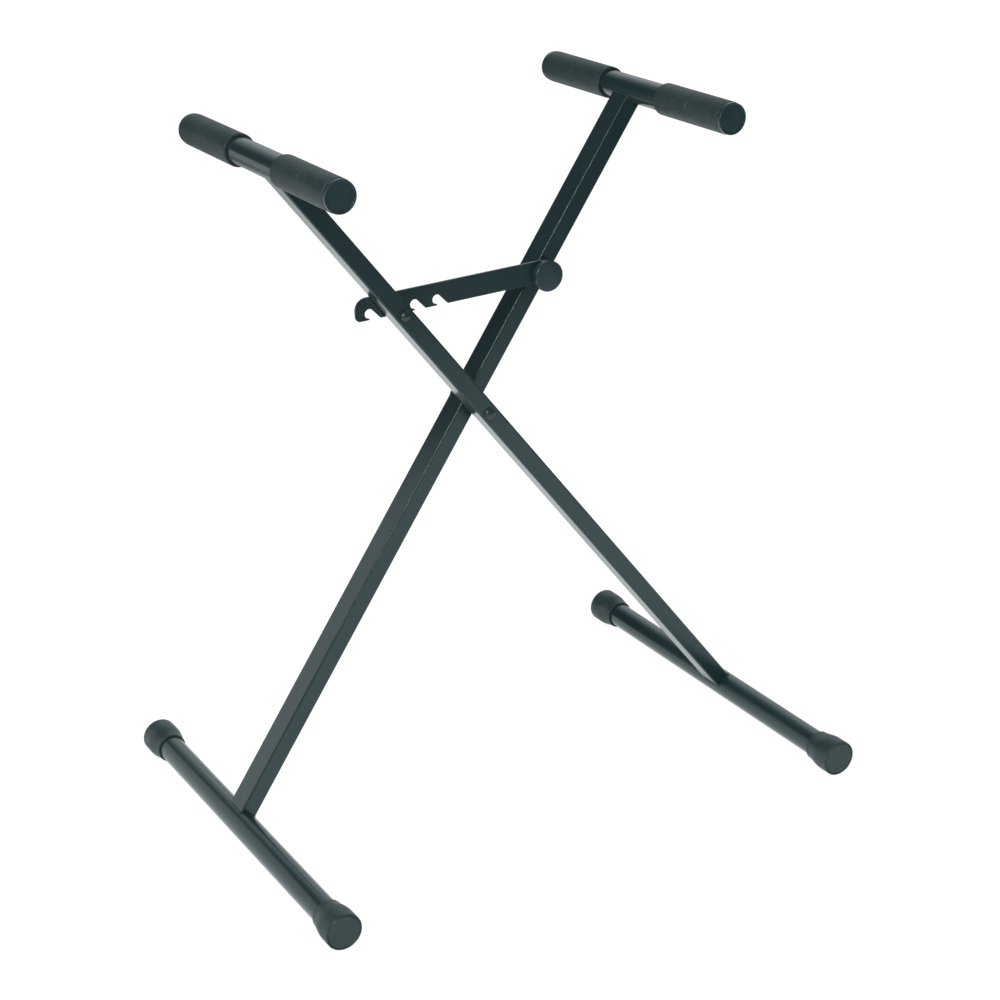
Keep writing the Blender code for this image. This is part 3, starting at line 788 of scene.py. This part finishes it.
def weld_line(side, tube_d, x, z, way):
    """Where a leg's outside meets a round tube; way is +1 up the leg from the tube."""
    up, across = leg_direction(side)
    centre = Vector((x, side * LEG_Y, z))
    radius = tube_d / 2
    points = []
    for a, b in rounded_rectangle(LEG_WIDTH + 2 * WELD_OFF, LEG_DEPTH + 2 * WELD_OFF, LEG_CORNER, 6):
        out = math.sqrt(radius ** 2 - a ** 2) + WELD_OFF
        points.append(centre + up * way * out + across * a + Vector((0, b, 0)))
    return points


def weld_beads(label, side, body):
    """Beads round both ends of a leg."""
    loops = [(weld_line(side, FOOT_TUBE_D, -side * FOOT_X, FOOT_Z, 1), True),
             (weld_line(side, ARM_TUBE_D, side * ARM_X, ARM_Z, -1), True)]
    name = label + "_weld_beads"
    beads = grow(name, line_mesh(name, loops), WELDING, {"Seed": WELD_SEED + side, "Material": PAINT})
    show(beads, body, "paint")


def frame_half(label, side):
    """One leg with its tubes, caps, sleeves, plugs and welds."""
    body = label + "_frame"
    leg_tube(label, side, body)
    weld_beads(label, side, body)
    foot = (-side * FOOT_X, side * FOOT_SHIFT, FOOT_Z)
    arm = (side * ARM_X, side * ARM_SHIFT, ARM_Z)
    for part, diameter, length, place in (
            ("foot_tube", FOOT_TUBE_D, FOOT_LENGTH - 2 * (CAP_FLOOR + GAP), foot),
            ("arm_tube", ARM_TUBE_D, ARM_LENGTH - 2 * (PLUG_FLANGE + GAP), arm)):
        profile = ring_profile(diameter / 2, diameter / 2 - TUBE_WALL, -length / 2, length / 2)
        tube = turned(f"{label}_{part}_round", profile, place, PAINT)
        show(tube, body, "paint", f"{label}_{part}")
    for end, where in ((-1, "near"), (1, "far")):
        foot_end = (foot[0], foot[1] + end * FOOT_LENGTH / 2, foot[2])
        arm_end = (arm[0], arm[1] + end * ARM_LENGTH / 2, arm[2])
        sleeve_end = (arm[0], arm_end[1] - end * (PLUG_FLANGE + GAP), arm[2])
        cap = turned(f"{label}_bell_cap_{where}", cap_profile(), foot_end, CAP_RUBBER, -end)
        show(cap, body, "cap_rubber", f"{label}_foot_cap_{where}")
        sleeve = turned(f"{label}_grip_sleeve_{where}", sleeve_profile(), sleeve_end, SLEEVE_RUBBER, -end)
        show(sleeve, body, "sleeve_rubber", f"{label}_arm_sleeve_{where}")
        plug = turned(f"{label}_end_plug_{where}", plug_profile(), arm_end, PLASTIC, -end)
        show(plug, body, "plug_plastic", f"{label}_arm_plug_{where}")


def domed_bolt(name, shank_d, head_d, head_high, seat, reach, place, facing, groove=None):
    """A bolt or pin along Y, its domed head facing -Y or +Y."""
    profile = bolt_profile(shank_d, head_d, head_high, seat, reach, facing, groove)
    return turned(name, profile, place, STEEL, segments=MEDIUM)


def washer(name, body, replaced, outer_d, low, high, place, slot_name, bore_d=BOLT_D):
    """A flat ring about a bolt, between two values of y."""
    ring = turned(name, ring_profile(outer_d / 2, bore_d / 2 + GAP, low, high), place,
                  SLOT_FINISH[slot_name], segments=MEDIUM)
    show(ring, body, slot_name, replaced)


def main_pivot():
    """Bolt, washers, spacer and lock nut where the legs cross."""
    at = (0, 0, PIVOT_Z)
    body = "front_frame"
    washer_back = LEG_OUTER + GAP + STEEL_WASHER_THICK
    nut_low = washer_back + GAP
    bolt = domed_bolt("main_pivot_bolt", BOLT_D, PIVOT_HEAD_D, PIVOT_HEAD_HIGH, -LEG_OUTER - GAP,
                      nut_low + NUT_HIGH + BOLT_TIP, at, -1)
    show(bolt, body, "bolt_steel", "pivot_bolt")
    inner = LEG_INNER - GAP
    half = inner - PIVOT_WASHER_THICK - GAP
    washer("nylon_washer_front", body, "pivot_washer_front", PIVOT_WASHER_D,
           -inner, -inner + PIVOT_WASHER_THICK, at, "washer_plastic")
    washer("nylon_washer_rear", body, "pivot_washer_rear", PIVOT_WASHER_D,
           inner - PIVOT_WASHER_THICK, inner, at, "washer_plastic")
    washer("leg_spacer", body, "pivot_spacer", PIVOT_SPACER_D, -half, half, at, "bolt_steel")
    washer("nut_washer", body, "pivot_nut_washer", STEEL_WASHER_D,
           LEG_OUTER + GAP, washer_back, at, "bolt_steel")
    lock_nut(nut_low, at, body)


def lock_nut(low, at, body):
    """Hexagon nut with chamfered corners and a round collar for its locking ring."""
    shoulder = low + NUT_HIGH - NUT_COLLAR_HIGH
    corner = NUT_FLATS / math.sqrt(3)
    nut = hexagon(NUT_FLATS, low, shoulder, at)
    nut.name = "main_lock_nut"
    face = NUT_FACE_D / 2
    wide = corner + NUT_CONE_OVER
    bevel = (corner - face) * math.tan(NUT_CHAMFER)
    cone = [(0, low), (face, low), (wide, low + bevel), (wide, shoulder - bevel), (face, shoulder),
            (0, shoulder)]
    carve(nut, turned("cone", cone, at, STEEL, segments=MEDIUM), "INTERSECT")
    r = NUT_COLLAR_D / 2
    top = low + NUT_HIGH
    collar = [(0, shoulder - NUT_COLLAR_SUNK), (r, shoulder - NUT_COLLAR_SUNK)]
    collar += arc((r - NUT_COLLAR_ROUND, top - NUT_COLLAR_ROUND), NUT_COLLAR_ROUND, 0, math.pi / 2, 5)
    collar.append((0, top))
    carve(nut, turned("collar", collar, at, STEEL, segments=MEDIUM), "UNION")
    carve(nut, round_tool(BOLT_D / 2 + GAP, 4 * NUT_HIGH, (at[0], low, at[2])))
    show(nut, body, "bolt_steel", "pivot_nut")


def catch_pin():
    """Pin on the front leg that the bar hooks over, with its washer and clip."""
    at = (-CATCH_X, 0, CATCH_Z)
    body = "front_frame"
    clip_low = BAR_BACK + 2 * GAP
    groove = (clip_low - GAP, clip_low + CLIP_THICK + GAP)
    pin = domed_bolt("hook_catch_pin", PIN_D, PIN_HEAD_D, PIN_HEAD_HIGH, -LEG_OUTER - GAP,
                     groove[1] + PIN_TIP, at, -1, groove)
    show(pin, body, "bolt_steel", "catch_pin")
    washer("catch_washer", body, "catch_pin_washer", STEEL_WASHER_D, -LEG_INNER + GAP,
           -LEG_INNER + GAP + STEEL_WASHER_THICK, at, "bolt_steel", PIN_D)
    middle = -math.pi / 2
    start = middle + CLIP_MOUTH / 2
    end = middle - CLIP_MOUTH / 2 + 2 * math.pi
    centre = (at[0], at[2])
    points = arc(centre, CLIP_D / 2, start, end, 48)
    points += arc(centre, CLIP_GROOVE_D / 2 + GAP, end, start, 48)
    clip = solid("retaining_clip", points, clip_low, clip_low + CLIP_THICK, STEEL)
    bevelled(clip, CLIP_BEVEL)
    show(clip, body, "bolt_steel", "catch_pin_clip")


def bevelled(obj, width):
    """Round the sharp edges of a plate."""
    bevel = obj.modifiers.new("edges", "BEVEL")
    bevel.width = width
    bevel.segments = 2
    bevel.limit_method = "ANGLE"
    bevel.angle_limit = math.radians(BEVEL_FROM)
    obj.data.shade_smooth()
    settle(obj, PLATE_SHARP_FROM)
    even_shading(obj)


def hook_pivot():
    """Bolt on the rear leg that the bar turns on, with its washer, spacer and knob."""
    at = (CATCH_X, 0, CATCH_Z)
    body = "rear_frame"
    washer_low = LEG_OUTER + GAP
    washer_high = washer_low + STEEL_WASHER_THICK
    seat = washer_high + GAP
    bolt = domed_bolt("hook_bolt", BOLT_D, PIVOT_HEAD_D, PIVOT_HEAD_HIGH, seat,
                      BAR_FRONT - KNOB_BORE_DEPTH, at, 1)
    top = seat + PIVOT_HEAD_HIGH
    carve(bolt, hexagon(SOCKET_D, top - SOCKET_DEPTH, top + SOCKET_DEPTH, at))
    show(bolt, body, "bolt_steel", "hook_pivot_bolt")
    washer("hook_bolt_washer", body, "hook_pivot_washer", STEEL_WASHER_D,
           washer_low, washer_high, at, "bolt_steel")
    washer("hook_spacer", body, "hook_pivot_spacer", BAR_SPACER_D,
           BAR_BACK + GAP, LEG_INNER - GAP, at, "bolt_steel")
    knob = turned("round_knob", knob_profile(), at, PLASTIC)
    show(knob, body, "plug_plastic", "hook_knob")


def slot_points(centre_x, centre_z):
    """One hook slot, from its right mouth corner round to the tip of the hook."""
    lower = -BAR_BELOW
    run = (math.cos(HOOK_SLANT), -math.sin(HOOK_SLANT))
    normal = (math.sin(HOOK_SLANT), math.cos(HOOK_SLANT))
    right = (centre_x + HOOK_R * normal[0], centre_z + HOOK_R * normal[1])
    right_foot = right[0] + run[0] * (right[1] - lower) / -run[1]
    inset = HOOK_MOUTH - HOOK_R
    start = math.atan2(normal[1], normal[0])
    sweep = math.pi + math.acos(inset / HOOK_R)
    round_end = arc((centre_x, centre_z), HOOK_R, start, start + sweep, 48)
    aside = -inset - HOOK_TIP_R
    along = (centre_z + aside * normal[1] - lower - HOOK_TIP_R) / -run[1]
    tip_centre = (centre_x + along * run[0] + aside * normal[0], lower + HOOK_TIP_R)
    return [(right_foot, lower)] + round_end + arc(tip_centre, HOOK_TIP_R, start, -math.pi / 2, 10)


def hook_bar():
    """Flat bar with four slanted hook slots in its lower edge."""
    lower = -BAR_BELOW
    upper = BAR_WIDTH - BAR_BELOW
    end_r = BAR_WIDTH / 2
    slack = HOOK_R - PIN_D / 2 - GAP
    engaged = -2 * CATCH_X + slack * math.cos(PIN_SEAT)
    points = arc((0, upper - end_r), end_r, math.pi / 2, -math.pi / 2, 40)
    for i in range(HOOK_COUNT):
        points += slot_points(engaged + (HOOK_COUNT - HOOK_ENGAGED - i) * HOOK_PITCH,
                              -slack * math.sin(PIN_SEAT))
    last = engaged + (1 - HOOK_ENGAGED) * HOOK_PITCH - BAR_NOSE_REACH
    points += arc((last + BAR_TOE_R, lower + BAR_TOE_R), BAR_TOE_R, -math.pi / 2, -math.pi, 20)
    points += arc((last + BAR_NOSE_R, upper - BAR_NOSE_R), BAR_NOSE_R, math.pi, math.pi / 2, 28)
    points = [(x + CATCH_X, z + CATCH_Z) for x, z in points]
    bar = solid("notched_bar", points, BAR_FRONT, BAR_BACK, PAINT)
    carve(bar, round_tool(BOLT_D / 2 + GAP, 4 * BAR_THICK, (CATCH_X, (BAR_FRONT + BAR_BACK) / 2, CATCH_Z)))
    bevelled(bar, BAR_BEVEL)
    show(bar, "hook_bar", "paint", "hook_bar")


frame_half("front", -1)
frame_half("rear", 1)
main_pivot()
catch_pin()
hook_pivot()
hook_bar()


# Studio


def camera():
    """The photograph's viewpoint."""
    yaw, pitch, roll = VIEW_TURNS
    forward = Vector((math.sin(-yaw) * math.cos(pitch), math.cos(yaw) * math.cos(pitch), math.sin(pitch)))
    level = forward.cross(Vector((0, 0, 1))).normalized()
    down = forward.cross(level)
    right = math.cos(roll) * level + math.sin(roll) * down
    below = -math.sin(roll) * level + math.cos(roll) * down
    data = bpy.data.cameras.new("view")
    data.sensor_width = VIEW_SENSOR
    data.lens = VIEW_LENS
    obj = new_object("view", data)
    turn = Matrix((right, -below, -forward)).transposed()
    obj.matrix_world = Matrix.Translation(VIEW_FROM) @ turn.to_4x4()
    bpy.context.scene.camera = obj


def mixed(tree, share, first, second):
    """The mix of two shaders; share is a number or a socket."""
    mix = node(tree, "ShaderNodeMixShader")
    if isinstance(share, float):
        mix.inputs["Fac"].default_value = share
    else:
        tree.links.new(share, mix.inputs["Fac"])
    wire(tree, (first, mix.inputs[1]), (second, mix.inputs[2]))
    return mix.outputs[0]


def studio_floor():
    """White floor that keeps a soft shadow; the far side of the paper is darker in reflections."""
    bm = bmesh.new()
    bm.faces.new([bm.verts.new((x * FLOOR_REACH, y * FLOOR_REACH, 0))
                  for x, y in ((-1, -1), (1, -1), (1, 1), (-1, 1))])
    mat = bpy.data.materials.new("studio_floor")
    mat.use_nodes = True
    tree = mat.node_tree
    tree.nodes.clear()
    where = node(tree, "ShaderNodeTexCoord").outputs["Object"]
    away = node(tree, "ShaderNodeVectorMath", operation="LENGTH")
    parts = node(tree, "ShaderNodeSeparateXYZ")
    wire(tree, (where, away.inputs[0]), (where, parts.inputs[0]))
    paper = spread(tree, away.outputs["Value"], *NEAR_FADE, FLOOR_NEAR, FLOOR_FAR)
    behind = sums(tree, "MULTIPLY", spread(tree, parts.outputs["Y"], *BEHIND_START),
                  spread(tree, away.outputs["Value"], *BEHIND_FADE, FLOOR_BEHIND, FLOOR_FAR))
    mirrored = sums(tree, "MAXIMUM", paper, behind)
    plain = node(tree, "ShaderNodeBsdfDiffuse")
    plain.inputs["Color"].default_value = (0.85, 0.85, 0.85, 1)
    glow = node(tree, "ShaderNodeEmission")
    glow.inputs["Strength"].default_value = FLOOR_GLOW
    shiny = node(tree, "ShaderNodeEmission")
    shiny.inputs["Color"].default_value = (*MIRROR_TINT, 1)
    path = node(tree, "ShaderNodeLightPath")
    seen = mixed(tree, SHADOW_SHARE, glow.outputs[0], plain.outputs[0])
    bounced = mixed(tree, path.outputs["Is Glossy Ray"], plain.outputs[0], shiny.outputs[0])
    whole = mixed(tree, path.outputs["Is Camera Ray"], bounced, seen)
    leave = node(tree, "ShaderNodeOutputMaterial")
    wire(tree, (mirrored, shiny.inputs["Strength"]), (whole, leave.inputs["Surface"]))
    floor = mesh_object("studio_floor", bm, mat)


def area_lamp(name, size, watts, mirrored):
    """An area lamp that lights surfaces or, if mirrored, shows only in their reflections."""
    data = bpy.data.lights.new(name, "AREA")
    data.shape = "RECTANGLE"
    data.size, data.size_y = size
    data.energy = watts
    lamp = new_object(name, data)
    lamp.visible_glossy = mirrored
    lamp.visible_diffuse = not mirrored
    lamp.visible_camera = False
    return lamp


def soft_light(name, place, target, size, watts, mirrored):
    """An area lamp at a place, facing a target."""
    lamp = area_lamp(name, size, watts, mirrored)
    lamp.location = Vector(place)
    lamp.rotation_euler = (Vector(target) - Vector(place)).to_track_quat("-Z", "Y").to_euler()


def studio_world():
    """White to the camera; in reflections a white wall high on the right, one on the left, a dark room."""
    world = bpy.data.worlds.new("studio")
    bpy.context.scene.world = world
    world.use_nodes = True
    tree = world.node_tree
    tree.nodes.clear()
    way = node(tree, "ShaderNodeSeparateXYZ")
    path = node(tree, "ShaderNodeLightPath")
    tree.links.new(node(tree, "ShaderNodeTexCoord").outputs["Generated"], way.inputs[0])
    tall = sums(tree, "MULTIPLY", spread(tree, way.outputs["Z"], *WALL_TOP, 1.0, 0.0),
                spread(tree, way.outputs["Z"], *WALL_FOOT, 0.5, 1.0))
    right = sums(tree, "MULTIPLY", tall, spread(tree, way.outputs["X"], *WALL_RIGHT, 0.0, BACKDROP_RIGHT))
    back = spread(tree, way.outputs["Y"], *WALL_BACK)
    side = sums(tree, "MULTIPLY", spread(tree, way.outputs["X"], *SIDE_EDGE, SIDE_WALL, 0.0),
                spread(tree, way.outputs["Z"], *SIDE_TOP, 1.0, 0.0))
    room = sums(tree, "ADD", sums(tree, "MULTIPLY", right, back), ROOM_DARK)
    soft = node(tree, "ShaderNodeBackground")
    soft.inputs["Strength"].default_value = SKY
    mirrored = node(tree, "ShaderNodeBackground")
    tree.links.new(sums(tree, "MAXIMUM", room, side), mirrored.inputs["Strength"])
    white = node(tree, "ShaderNodeBackground")
    reflecting = sums(tree, "MAXIMUM", path.outputs["Is Glossy Ray"], path.outputs["Is Transmission Ray"])
    bounced = mixed(tree, reflecting, soft.outputs[0], mirrored.outputs[0])
    whole = mixed(tree, path.outputs["Is Camera Ray"], bounced, white.outputs[0])
    wire(tree, (whole, node(tree, "ShaderNodeOutputWorld").inputs["Surface"]))
    for shade, colour in ((soft, (1, 1, 1)), (mirrored, MIRROR_TINT), (white, (1, 1, 1))):
        shade.inputs["Color"].default_value = (*colour, 1)


def strip_light():
    """Tall narrow lamp, front left, that draws the pale lines along the edges."""
    high, low = Vector(STRIP_HIGH), Vector(STRIP_LOW)
    middle = (high + low) / 2
    along = (high - low).normalized()
    facing = (middle - Vector(STRIP_TARGET)).normalized()
    across = along.cross(facing).normalized()
    lamp = area_lamp("strip_lamp", (STRIP_WIDE, (high - low).length), STRIP_WATTS, True)
    lamp.data.color = MIRROR_TINT
    turn = Matrix((across, along, across.cross(along))).transposed()
    lamp.matrix_world = Matrix.Translation(middle) @ turn.to_4x4()


camera()
studio_floor()
studio_world()
for lamp_row in LAMPS:
    soft_light(*lamp_row)
strip_light()
bpy.context.scene.view_settings.view_transform = "Standard"
